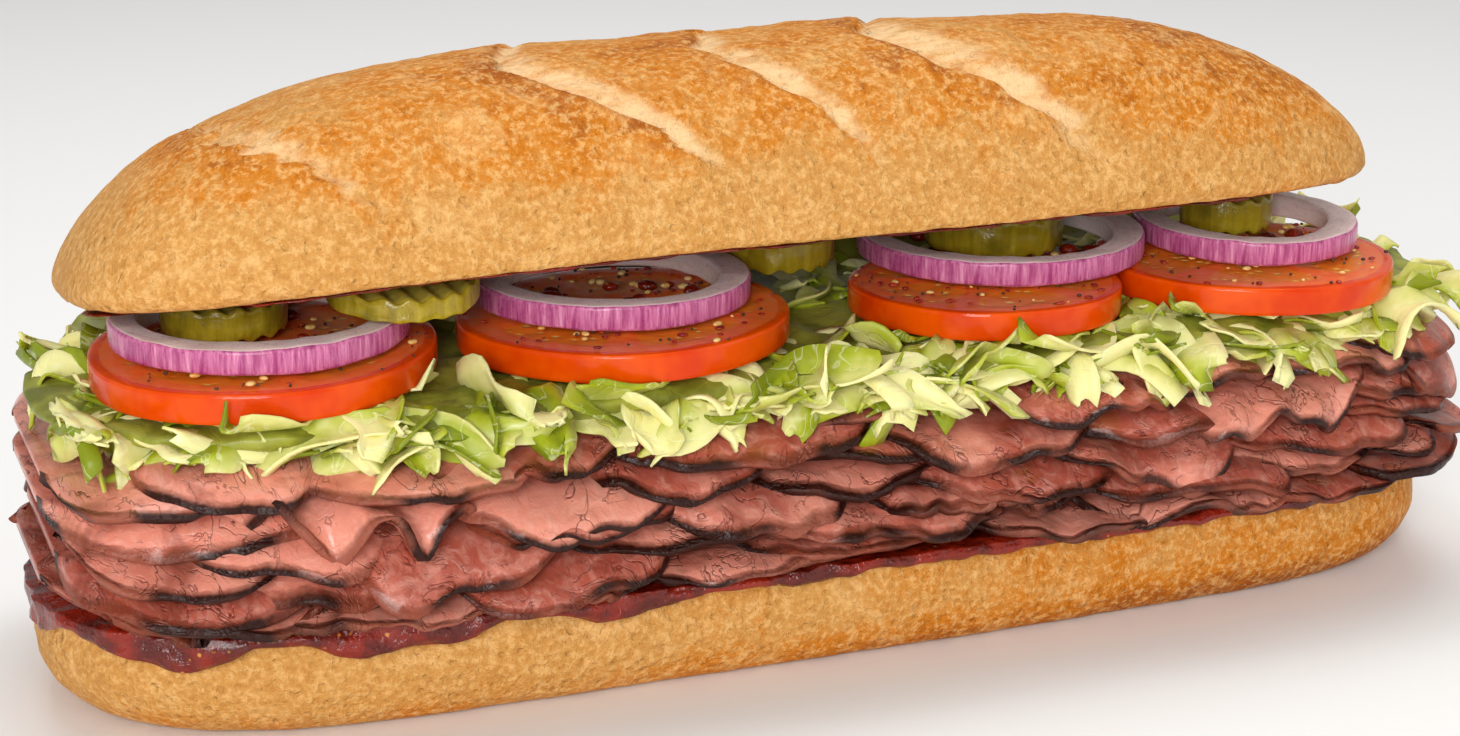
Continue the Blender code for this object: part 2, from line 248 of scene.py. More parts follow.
def bread_material(name, bread, crown):
    """Baked crust: golden, browner on the lobes, pale in the score marks, finely pitted, and darkened towards the right
    end as painted shade.
    """
    make = Finish(name, Specular_IOR_Level=0.12)
    broad = make.noise(26.0, 3.0, 0.6, swirl=0.6)
    patches = make.noise(120.0, 6.0, 0.72, swirl=0.8)
    grain = make.noise(640.0, 3.0, 0.7)
    speck = make.noise(1500.0, 2.0, 0.6)
    height = make.height()
    # The attribute read below holds the real browned lobes by the score marks, and painted shade that darkens the right
    # end of each half, away from the key light.
    if crown:
        browning = height.step(0.088, 0.112) * 0.65 + make.attribute("bake") * 0.55 + broad * 1.1 + patches * 1.9 - 2.0
    else:
        browning = height.step(0.012, 0.001) * 0.55 + make.attribute("bake") * 0.60 + broad * 1.0 + patches * 1.6 - 1.65
    colour = make.mix(browning.step(-0.15, 0.50), bread.crust_gold, bread.crust_brown)
    colour = make.mix(browning.step(0.30, 0.90) * 0.8, colour, bread.crust_dark)
    flour = make.noise(70.0, 4.0, 0.7, swirl=1.2).step(0.50, 0.74)
    colour = make.mix(flour * 0.55, colour, bread.crust_pale)
    colour = make.mix(grain.step(0.46, 0.66) * 0.60, colour, bread.crust_pale)
    colour = make.mix(grain.step(0.48, 0.30) * 0.24, colour, bread.crust_dark)
    if crown:
        score = make.attribute("score")
        streak = make.noise(150.0, 4.0, 0.75, vector=make.stretched((0.35, 1.0, 1.0), turn=(0.0, 0.0, 0.5)))
        pale = score * (streak * 2.4 - 0.55)
        colour = make.mix(pale.step(0.05, 0.85) * 0.85, colour, bread.crust_score)
    crumb = make.attribute("crumb")
    # The crumb's holes are painted darker than the crumb: painted shade in the pores.
    holes = make.cells(260.0, "F1", make.stretched((1.0, 1.0, 1.6)))
    crumb_colour = make.mix(holes.step(0.30, 0.05) * 0.5, bread.crumb, linear(196, 150, 90))
    colour = make.mix(crumb, colour, crumb_colour)
    pits = make.cells(430.0, "SMOOTH_F1")
    bumps = (
        (patches, 0.0016, 0.50),
        (grain * 0.6 + speck * 0.4, 0.0011, 0.90),
        (pits.step(0.0, 0.45), 0.0007, 0.55),
    )
    return make.finish(colour, 0.50 + grain * 0.22, bumps)


def beef_material(name, filling):
    """Moist sliced beef: rosy, with fine cracks and marbling, and a dark roasted rim in places; the same dark colours
    paint shade over the core behind the slices.
    """
    make = Finish(name, Specular_IOR_Level=0.3, Coat_Weight=0.32, Coat_Roughness=0.12)
    make.shader.inputs["Subsurface Weight"].default_value = 0.08
    make.shader.inputs["Subsurface Scale"].default_value = 0.0015
    broad = make.noise(60.0, 3.0, 0.6)
    fibre = make.noise(300.0, 4.0, 0.65, vector=make.stretched((1.0, 0.4, 1.3), turn=(0.0, 0.0, 0.5)), swirl=1.0)
    vein = make.noise(120.0, 3.0, 0.6, vector=make.stretched((1.0, 0.55, 1.0), turn=(0.3, 0.0, 0.8)), swirl=1.4)
    crack = (vein - 0.5).larger(0.5 - vein)
    sparse = make.noise(75.0, 2.0)
    split = crack.step(0.012, 0.0) * sparse.step(0.44, 0.56)
    fine = make.noise(850.0, 2.0, 0.6)
    tone = make.attribute("tone")
    mood = broad + tone * 0.5 - 0.25
    colour = make.mix(mood.step(0.32, 0.70), filling.meat_rosy, filling.meat_deep)
    colour = make.mix(fibre.step(0.42, 0.72) * 0.45, colour, filling.meat_fibre)
    colour = make.mix(split * 0.85, colour, linear(96, 34, 26))
    stains = make.noise(48.0, 4.0, 0.6, swirl=0.8).step(0.52, 0.68)
    colour = make.mix(stains * 0.6, colour, linear(122, 44, 22))
    glaze = make.noise(64.0, 3.0, 0.6, swirl=0.5).step(0.60, 0.72)
    colour = make.mix(glaze * 0.5, colour, linear(150, 84, 30))
    rim = make.attribute("rim")
    wobble = make.noise(210.0, 3.0, 0.6)
    crusty = make.noise(38.0, 2.0).step(0.42, 0.54)
    edge = rim + wobble * 3.4 - 1.7
    make.feed(make.shader.inputs["Coat Weight"], edge.step(0.8, 3.0) * (0.12 + fibre * 0.42))
    # A low rim value gives a slice its real roasted rim, and gives the core behind the slices the same dark colours as
    # painted shade.
    colour = make.mix(edge.step(4.6, 1.4) * 0.75, colour, linear(130, 56, 28))
    colour = make.mix(edge.step(2.9, 1.5) * (0.12 + crusty * 0.88), colour, filling.meat_crust)
    bumps = (
        (wobble * edge.step(4.0, 1.5), 0.0016, 0.8),
        (fibre, 0.0007, 0.5),
        (crack.step(0.0, 0.03) * sparse.step(0.44, 0.56), 0.0005, 0.6),
        (fine, 0.00025, 0.4),
    )
    return make.finish(colour, 0.20 + fibre * 0.26 + edge.step(1.8, 0.8) * 0.12, bumps)


def sauce_material(name, filling):
    """Thick barbecue sauce: nearly black in depth, red-brown where thin, with bits in it."""
    make = Finish(name, Specular_IOR_Level=0.4, Coat_Weight=0.25, Coat_Roughness=0.1)
    broad = make.noise(120.0, 3.0, 0.6)
    bits = make.cells(420.0, "F1")
    pick = make.noise(160.0, 2.0)
    colour = make.mix(broad.step(0.35, 0.65), filling.sauce_colour, linear(140, 30, 6))
    colour = make.mix(bits.step(0.22, 0.10) * pick.step(0.54, 0.62), colour, linear(206, 134, 52))
    lumps = make.noise(420.0, 3.0, 0.6)
    return make.finish(colour, 0.16 + lumps * 0.16, ((broad, 0.0020, 0.8), (lumps, 0.0012, 0.8)))


def lettuce_material(name, filling, core=False):
    """Crisp shredded leaf: each shred has its own tone, with pale veins."""
    make = Finish(name, Specular_IOR_Level=0.3, Coat_Weight=0.1, Coat_Roughness=0.2)
    make.shader.inputs["Subsurface Weight"].default_value = 0.0 if core else 0.15
    make.shader.inputs["Subsurface Scale"].default_value = 0.003
    vein = make.noise(130.0, 2.0, 0.5, swirl=0.8)
    veins = (vein - 0.5).larger(0.5 - vein)
    broad = make.noise(90.0, 3.0, 0.6)
    fine = make.noise(500.0, 3.0, 0.6)
    if core:
        colour = make.mix(broad.step(0.35, 0.65), linear(104, 108, 24), linear(156, 158, 58))
    else:
        tone = make.attribute("tone") + broad * 0.9 - 0.45
        colour = make.mix(tone.step(0.10, 0.80), filling.leaf_green, filling.leaf_pale)
        colour = make.mix(tone.step(0.22, -0.1) * 0.7, colour, linear(104, 122, 16))
        colour = make.mix(veins.step(0.02, 0.0) * 0.35, colour, linear(246, 242, 206))
        colour = make.mix(fine.step(0.62, 0.8) * 0.2, colour, linear(196, 150, 90))
    return make.finish(colour, 0.34 + fine * 0.2, ((broad, 0.0010, 0.5), (veins.step(0.0, 0.04), 0.0003, 0.3)))


def tomato_material(name, filling):
    """Wet tomato: smooth skin round the side, flesh and seed chambers on the cut faces."""
    make = Finish(name, Specular_IOR_Level=0.2, Coat_Weight=0.10, Coat_Roughness=0.06)
    make.shader.inputs["Subsurface Weight"].default_value = 0.20
    make.shader.inputs["Subsurface Scale"].default_value = 0.003
    face = make.attribute("face")
    gel = make.attribute("gel")
    broad = make.noise(70.0, 3.0, 0.6)
    fine = make.noise(460.0, 3.0, 0.6)
    seeds = make.cells(330.0, "F1")
    skin = make.mix(broad.step(0.35, 0.7), filling.tomato_skin, linear(212, 56, 0))
    flesh = make.mix(fine.step(0.4, 0.7) * 0.6, filling.tomato_flesh, linear(232, 134, 66))
    soft = make.mix(seeds.step(0.30, 0.16), filling.tomato_gel, linear(232, 196, 104))
    flesh = make.mix(gel.step(0.35, 0.7), flesh, soft)
    colour = make.mix(face.step(0.3, 0.8), skin, flesh)
    bumps = ((fine, 0.0003, 0.35), (broad, 0.0010, 0.2), (seeds.step(0.1, 0.4) * gel, 0.0006, 0.4))
    return make.finish(colour, 0.16 + face * 0.14 + fine * 0.08, bumps)


def onion_material(name, filling):
    """Red onion: purple streaks down the outer side, pale layered cut faces."""
    make = Finish(name, Specular_IOR_Level=0.3, Coat_Weight=0.12, Coat_Roughness=0.1)
    make.shader.inputs["Subsurface Weight"].default_value = 0.18
    make.shader.inputs["Subsurface Scale"].default_value = 0.002
    outer = make.attribute("outer")
    around = make.node("ShaderNodeUVMap", {"uv_map": "UVMap"}).outputs[0]
    streaks = make.noise(1.0, 4.0, 0.7, vector=make.stretched((150.0, 3.5, 1.0), around))
    patches = make.noise(1.0, 2.0, 0.5, vector=make.stretched((26.0, 4.0, 1.0), around))
    speck = make.noise(900.0, 2.0, 0.6)
    purple = make.mix(streaks.step(0.40, 0.66), filling.onion_skin, linear(160, 58, 116))
    purple = make.mix(streaks.step(0.46, 0.28) * 0.7, purple, linear(236, 184, 206))
    purple = make.mix(patches.step(0.52, 0.72) * 0.6, purple, linear(140, 40, 96))
    lines = make.noise(1.0, 3.0, 0.6, vector=make.stretched((30.0, 46.0, 1.0), around))
    pale = make.mix(lines.step(0.48, 0.62) * 0.35, filling.onion_flesh, linear(222, 172, 190))
    pale = make.mix(speck.step(0.60, 0.75) * 0.25, pale, linear(196, 150, 120))
    colour = make.mix(outer.step(0.35, 0.65), pale, purple)
    return make.finish(colour, 0.22 + speck * 0.14, ((streaks, 0.0003, 0.35), (speck, 0.0002, 0.3)))


def pickle_material(name, filling):
    """Wet pickle: dark bumpy skin round the rim, paler translucent flesh with seeds."""
    make = Finish(name, Specular_IOR_Level=0.4, Coat_Weight=0.2, Coat_Roughness=0.1)
    make.shader.inputs["Subsurface Weight"].default_value = 0.15
    make.shader.inputs["Subsurface Scale"].default_value = 0.003
    face = make.attribute("face")
    broad = make.noise(120.0, 3.0, 0.6)
    fine = make.noise(520.0, 3.0, 0.65)
    upright = make.noise(1.0, 3.0, 0.6, vector=make.stretched((520.0, 520.0, 90.0)))
    seeds = make.cells(300.0, "F1")
    skin = make.mix(upright.step(0.38, 0.66), filling.pickle_skin, linear(178, 156, 36))
    skin = make.mix(broad.step(0.5, 0.75) * 0.6, skin, linear(84, 78, 12))
    flesh = make.mix(seeds.step(0.26, 0.12) * 0.6, filling.pickle_flesh, linear(198, 190, 104))
    colour = make.mix(face.step(0.3, 0.8), skin, flesh)
    return make.finish(colour, 0.18 + fine * 0.12, ((fine, 0.0005, 0.5), (upright, 0.0005, 0.4)))


def speck_material(name, dark, light, gloss=0.35):
    """Small dry bits, each in a slightly different tone."""
    make = Finish(name, Roughness=gloss, Specular_IOR_Level=0.5)
    shade = make.noise(700.0, 2.0, 0.5)
    return make.finish(make.mix(shade.step(0.35, 0.65), dark, light), gloss + shade * 0.1, ((shade, 0.0002, 0.3),))


def floor_material(name, stage):
    make = Finish(name)
    tone = make.noise(3.0, 2.0)
    colour = make.mix(tone * 0.03, tuple(stage.floor_colour), linear(226, 225, 222))
    return make.finish(colour, 0.65 + tone * 0.05, ((make.noise(900.0), 0.00005, 0.1),))


# ---- mesh helpers ------------------------------------------------------------------------------
def deselect_all():
    if bpy.context.mode != "OBJECT":
        bpy.ops.object.mode_set(mode="OBJECT")
    bpy.ops.object.select_all(action="DESELECT")


def read_points(thing):
    flat = np.empty(len(thing.data.vertices) * 3, dtype=np.float32)
    thing.data.vertices.foreach_get("co", flat)
    return flat.reshape(-1, 3).astype(float)


def write_points(thing, points):
    thing.data.vertices.foreach_set("co", np.asarray(points, dtype=np.float32).ravel())
    thing.data.update()


def write_attribute(thing, name, values):
    layer = thing.data.attributes.new(name, "FLOAT", "POINT")
    layer.data.foreach_set("value", np.asarray(values, dtype=np.float32))


def named(name):
    thing = bpy.context.object
    thing.name = name
    thing.data.name = name
    return thing


def add_ball(name, segments, rings):
    """A sphere to be shaped; returns it with each point's turn and lift."""
    deselect_all()
    bpy.ops.mesh.primitive_uv_sphere_add(segments=segments, ring_count=rings, radius=1.0)
    thing = named(name)
    points = read_points(thing)
    turn = np.mod(np.arctan2(points[:, 1], points[:, 0]), 2.0 * math.pi)
    lift = np.arcsin(np.clip(points[:, 2], -1.0, 1.0))
    return thing, turn, lift


def add_sheet(name, columns, rows):
    """A flat grid to be shaped; returns it with each point's place across and along, -1 to 1."""
    deselect_all()
    bpy.ops.mesh.primitive_grid_add(x_subdivisions=columns, y_subdivisions=rows, size=2.0)
    thing = named(name)
    points = read_points(thing)
    return thing, points[:, 0], points[:, 1]


def apply_modifier(thing, kind, **settings):
    deselect_all()
    thing.select_set(True)
    bpy.context.view_layer.objects.active = thing
    modifier = thing.modifiers.new(kind.title(), kind)
    for name, value in settings.items():
        setattr(modifier, name, value)
    bpy.ops.object.modifier_apply(modifier=modifier.name)


def settle(thing, material, replaces=(), sharp=None):
    """Gives a finished piece its material, its shading and its place in the frame."""
    thing.data.materials.clear()
    thing.data.materials.append(material)
    deselect_all()
    thing.select_set(True)
    bpy.context.view_layer.objects.active = thing
    if sharp is None:
        bpy.ops.object.shade_smooth()
    else:
        bpy.ops.object.shade_smooth_by_angle(angle=math.radians(sharp))
    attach(thing, "root")
    if replaces:
        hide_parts(*replaces)


def node_frame(node):
    """The middle and the half size of a node's box."""
    low, high = (np.array(corner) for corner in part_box(node))
    return (low + high) / 2.0, (high - low) / 2.0


def fit_to(points, node):
    """Moves and stretches points, so that they fill the node's box."""
    middle, half = node_frame(node)
    low, high = points.min(axis=0), points.max(axis=0)
    return middle + (points - (low + high) / 2.0) * (2.0 * half / (high - low))


def roughen(points, size, seed):
    """A smooth random height for each point, about -1 to 1, with features of that size."""
    shift = Vector((17.3 * seed, 5.1 * seed, -9.7 * seed))
    return np.array([noise.noise(Vector(point) / size + shift) for point in points]) * 1.8


def ripple(values, wave, seed, count=4):
    """A smooth random curve over values, made of a few waves near the given length."""
    rng = np.random.default_rng(seed)
    total = np.zeros_like(values)
    for _ in range(count):
        length = wave * rng.uniform(0.6, 1.7)
        total += np.sin(2.0 * math.pi * values / length + rng.uniform(0.0, 2.0 * math.pi))
    return total / math.sqrt(count)


def smooth(value, low=0.0, high=1.0):
    share = np.clip((value - low) / (high - low), 0.0, 1.0)
    return share * share * (3.0 - 2.0 * share)


def draw_in(values, start, limit):
    """Leaves values up to start alone and squeezes what lies beyond, so that it ends before limit."""
    beyond = np.maximum(np.abs(values) - start, 0.0) / (limit - start)
    squeezed = start + (limit - start) * np.tanh(beyond)
    return np.where(np.abs(values) > start, np.sign(values) * squeezed, values)


class Plan:
    """A loaf seen from above: long sides that bow a little, and rounded ends."""

    def __init__(self, half_length, half_width, bow, along_power, across_power):
        self.half_length = half_length
        self.half_width = half_width
        self.bow = bow
        self.along_power = along_power
        self.across_power = across_power
        turns = np.linspace(0.0, 2.0 * math.pi, 2881)
        x = half_length * np.copysign(1.0 - (1.0 - np.abs(np.cos(turns))) ** 2, np.cos(turns))
        y = np.copysign(self.width_at(x), np.sin(turns))
        steps = np.hypot(np.diff(x), np.diff(y))
        self.share = np.concatenate(([0.0], np.cumsum(steps))) / steps.sum()
        self.x, self.y = x, y

    def width_at(self, x):
        along = np.clip(np.abs(x) / self.half_length, 0.0, 1.0)
        end = (1.0 - along**self.along_power) ** (1.0 / self.across_power)
        return self.half_width * (1.0 - self.bow * along**2) * end

    def outline(self, turn):
        share = turn / (2.0 * math.pi)
        return np.interp(share, self.share, self.x), np.interp(share, self.share, self.y)


# ---- bread -------------------------------------------------------------------------------------
# Each score mark: its place along the crown, its sweep down the front, its shift over the back and
# its width, all in millimetres, and its depth as a share of the full depth.
SCORES = (
    (-108.0, 24.0, 0.0, 7.0, 0.6),
    (-55.0, 38.0, 12.0, 11.0, 0.8),
    (-14.0, 28.0, 12.0, 10.0, 0.7),
    (21.0, 37.0, 12.0, 17.0, 0.85),
)


def score_relief(x, roll):
    """Height in millimetres, paleness and browning round the scores, at x in millimetres and roll in degrees."""
    height = np.zeros_like(x)
    pale = np.zeros_like(x)
    brown = np.zeros_like(x)
    for place, sweep, back, width, depth in SCORES:
        line = place + sweep * smooth(-roll, 20.0, 86.0) + back * smooth(roll, -28.0, 25.0)
        line += 1.3 * ripple(roll, 15.0, int(place) + 200, 4)
        fade = smooth(roll, -88.0, -60.0) * smooth(-roll, -62.0, -30.0)
        span = width * (0.30 + 0.70 * np.exp(-(((roll + 34.0) / 24.0) ** 2)))
        off = x - line
        dip = np.where(off > 0.0, np.clip(1.0 - off / span, 0.0, 1.0) ** 1.3, np.exp(off / 0.6))
        ear = np.where(off < 0.0, np.exp(off / 6.0), 0.0) * (1.0 - np.exp(off / 0.7))
        height += depth * fade * (0.50 * ear - dip)
        inside = np.where(off > 0.0, smooth(1.25 - off / span, 0.0, 0.8), smooth(off, -0.9, 0.0))
        pale = np.maximum(pale, fade * min(1.3 * depth, 1.0) * inside)
        brown = np.maximum(brown, fade * np.where(off < 0.0, np.exp(off / 16.0), 0.0))
    return height, pale, brown


class SANDWICH_OT_crown(Operator):
    """Shapes the scored, browned top half of the roll"""

    bl_idname = "sandwich.crown"
    bl_label = "Top bun"

    def execute(self, context):
        bread = context.scene.sandwich_bread
        middle, half = node_frame("top_bun")
        plan = Plan(half[0], bread.crown_width, 0.10, 7.0, 3.0)
        thing, turn, lift = add_ball("crown_crust", 360, 190)
        spread = np.cos(lift)
        edge_x, edge_y = plan.outline(turn)
        x, y = edge_x * spread, edge_y * spread
        along = np.clip(np.abs(x) / half[0], 0.0, 1.0)
        across = np.clip(np.abs(y) / np.maximum(plan.width_at(x), 1e-6), 0.0, 1.0)
        across = np.maximum(across, np.where(lift < 0.0, 1.0, 0.0))
        dome = (bread.crown_height - bread.crown_lip) * (1.0 - along**4.5) ** 0.7
        dome = dome * (1.0 - across**2.6) ** (1.0 / 2.2)
        edge = np.clip((spread - 0.965) / 0.035, 0.0, 1.0)
        lip = bread.crown_lip * (1.0 - np.sqrt(1.0 - edge**2))
        z = np.where(lift >= 0.0, bread.crown_lip + dome, lip)
        roll = np.degrees(np.arcsin(np.clip(y / np.maximum(plan.width_at(x), 1e-6), -1.0, 1.0)))
        crust = smooth(lift, -0.10, 0.05)
        relief, pale, brown = score_relief(x / MM, roll)
        points = np.stack([x, y, z], axis=1)
        swell = 0.5 * roughen(points, 0.034, 1) + 0.28 * roughen(points, 0.011, 2)
        fine = 0.13 * roughen(points, 0.0042, 3) + 0.07 * roughen(points, 0.0019, 4)
        push = MM * crust * (bread.score_depth / MM * relief + swell + fine)
        push += MM * (1.0 - crust) * 0.35 * roughen(points, 0.004, 5)
        slant = np.radians(roll)
        points[:, 1] += push * np.sin(slant)
        points[:, 2] += push * np.cos(slant) * np.where(lift < -0.10, -1.0, 1.0)
        start = -0.020
        sag = np.clip((start - points[:, 0]) / (half[0] + start), 0.0, 1.0)
        points[:, 2] -= bread.crown_sag * sag**2
        tilt = bread.crown_tilt
        y, z = points[:, 1].copy(), points[:, 2].copy()
        points[:, 1] = y * math.cos(tilt) + z * math.sin(tilt)
        points[:, 2] = z * math.cos(tilt) - y * math.sin(tilt)
        write_points(thing, fit_to(points, "top_bun"))
        write_attribute(thing, "score", pale * crust)
        # Real browned lobes beside the score marks, and painted shade that darkens the crown's right end.
        write_attribute(thing, "bake", np.maximum(0.85 * brown, smooth(points[:, 0], 0.02, 0.12)))
        write_attribute(thing, "crumb", smooth(-lift, 0.26, 0.34))
        settle(thing, bread_material("crown_bread", bread, True), ("top_bun",))
        return {"FINISHED"}


class SANDWICH_OT_heel(Operator):
    """Shapes the bottom half of the roll"""

    bl_idname = "sandwich.heel"
    bl_label = "Bottom bun"

    def execute(self, context):
        bread = context.scene.sandwich_bread
        middle, half = node_frame("bottom_bun")
        plan = Plan(half[0], half[1], 0.06, 8.0, 2.0)
        thing, turn, lift = add_ball("heel_crust", 360, 150)
        path = lift / math.pi + 0.5
        edge_x, edge_y = plan.outline(turn)
        full = 2.0 * half[2]
        bend = np.clip((path - 0.22) / 0.34, 0.0, 1.0) * math.pi / 2.0
        inset = (1.0 - np.sin(bend)) + 0.10 * smooth(path, 0.60, 0.78)
        z = bread.heel_rounding * (1.0 - np.cos(bend))
        z = z + (full - bread.heel_rounding) * np.clip((path - 0.56) / 0.22, 0.0, 1.0)
        scale = np.clip(path / 0.22, 0.0, 1.0) * np.clip((1.0 - path) / 0.22, 0.0, 1.0)
        x = edge_x * (1.0 - inset * 0.0120 / half[0]) * scale
        y = edge_y * (1.0 - inset * 0.0070 / half[1]) * scale
        points = np.stack([x, y, z], axis=1)
        skin = smooth(path, 0.20, 0.30) * smooth(1.0 - path, 0.18, 0.24)
        swell = 0.45 * roughen(points, 0.040, 6) + 0.22 * roughen(points, 0.010, 7)
        swell += 0.12 * roughen(points, 0.0040, 8) + 0.06 * roughen(points, 0.0018, 9)
        outward = np.stack([edge_x / half[0] ** 2, edge_y / half[1] ** 2], axis=1)
        outward /= np.linalg.norm(outward, axis=1)[:, None]
        points[:, :2] += (MM * skin * swell)[:, None] * outward
        write_points(thing, fit_to(points, "bottom_bun"))
        write_attribute(thing, "crumb", smooth(path, 0.785, 0.80))
        # Painted shade: the heel's colour darkens towards its right end, away from the key light.
        write_attribute(thing, "bake", smooth(points[:, 0], -0.12, 0.14))
        settle(thing, bread_material("heel_bread", bread, False), ("bottom_bun",))
        return {"FINISHED"}


# ---- sauce -------------------------------------------------------------------------------------
class SANDWICH_OT_sauce(Operator):
    """Spreads sauce on the heel, with drips over its edge, and under the crown, where the dark sheet is also painted
    shade under the bun
    """

    bl_idname = "sandwich.sauce"
    bl_label = "Sauce"

    def execute(self, context):
        filling = context.scene.sandwich_filling
        bread = context.scene.sandwich_bread
        material = sauce_material("barbecue_sauce", filling)
        middle, half = node_frame("sauce_layer")
        plan = Plan(half[0], half[1], 0.06, 8.0, 2.0)
        thing, turn, lift = add_ball("sauce_spread", 480, 64)
        path = lift / math.pi + 0.5
        edge_x, edge_y = plan.outline(turn)
        outward = np.stack([edge_x / half[0] ** 8 * np.abs(edge_x) ** 6, edge_y / half[1] ** 2], axis=1)
        outward /= np.maximum(np.linalg.norm(outward, axis=1), 1e-9)[:, None]
        drip = np.clip(0.9 + ripple(turn / (2.0 * math.pi), 0.040, 21, 7), 0.1, 2.6)
        drip = drip * (0.12 + 0.88 * smooth(-edge_x, -0.02, 0.12))
        stations = (0.0, 0.26, 0.33, 0.40, 0.48, 0.56, 0.64, 0.72, 1.0)
        push = np.interp(path, stations, (0.0, -0.8, -0.2, 0.6, 1.3, 1.5, 1.0, -1.5, 0.0))
        fall = np.interp(path, stations, (0.0, 0.0, 1.0, 1.1, 0.8, 0.35, 0.0, 0.0, 0.0))
        rise = np.interp(path, stations, (0.0, 0.0, 0.2, 0.2, 0.6, 1.4, 2.4, 2.7, 2.5))
        scale = np.clip(path / 0.26, 0.0, 1.0) * np.clip((1.0 - path) / 0.28, 0.0, 1.0)
        z = middle[2] - half[2] + MM * (rise - 2.3 * drip * fall)
        points = np.stack([edge_x * scale, edge_y * scale, z], axis=1)
        points[:, :2] += outward * (MM * push * (1.0 - 0.9 * np.abs(outward[:, 0])))[:, None] + middle[:2]
        rim = smooth(scale, 0.9, 1.0)
        points[:, :2] += outward * (MM * rim * 0.75 * roughen(points, 0.0045, 23))[:, None]
        points[:, 2] += MM * 0.35 * roughen(points, 0.004, 22)
        write_points(thing, points)
        settle(thing, material, ("sauce_layer",))

        # The smear under the crown is partly real sauce and partly painted shade: its dark sheet stands in for the
        # shadow under the bun's front edge.
        centre, size = node_frame("top_bun")
        plan = Plan(size[0] * 0.955, bread.crown_width * 0.93, 0.10, 7.0, 3.0)
        smear, turn, lift = add_ball("sauce_under_crown", 260, 30)
        edge_x, edge_y = plan.outline(turn)
        wave = 1.0 + 0.025 * ripple(turn, 0.35, 24, 5)
        spread = np.abs(np.cos(lift)) ** 0.4
        x, y = edge_x * spread * wave, edge_y * spread * wave
        floor = 0.0817
        start = -0.020
        sag = bread.crown_sag * np.clip((start - x) / (size[0] + start), 0.0, 1.0) ** 2
        z = floor - 0.0005 + 0.0009 * np.sin(lift) - y * math.tan(bread.crown_tilt) - sag
        points = np.stack([x + centre[0], y, z], axis=1)
        points[:, 2] += MM * 0.35 * roughen(points, 0.005, 25) * (lift < 0.0)
        write_points(smear, points)
        settle(smear, material)
        return {"FINISHED"}


# ---- roast beef --------------------------------------------------------------------------------
# Folds that stand out: slice number, which half of it, hem reach, droop and fluting in millimetres.
FOLDS = {
    (16, 1): (54.5, 6.5, 4.2), (17, 0): (55.0, 9.5, 1.0), (12, 0): (54.0, 11.0, 1.4), (21, 0): (55.0, 3.5, 1.0),
    (7, 0): (54.5, 8.5, 1.2), (19, 1): (55.0, 8.0, 2.2), (14, 1): (54.0, 7.0, 2.8), (24, 0): (54.5, 6.0, 1.4),
}


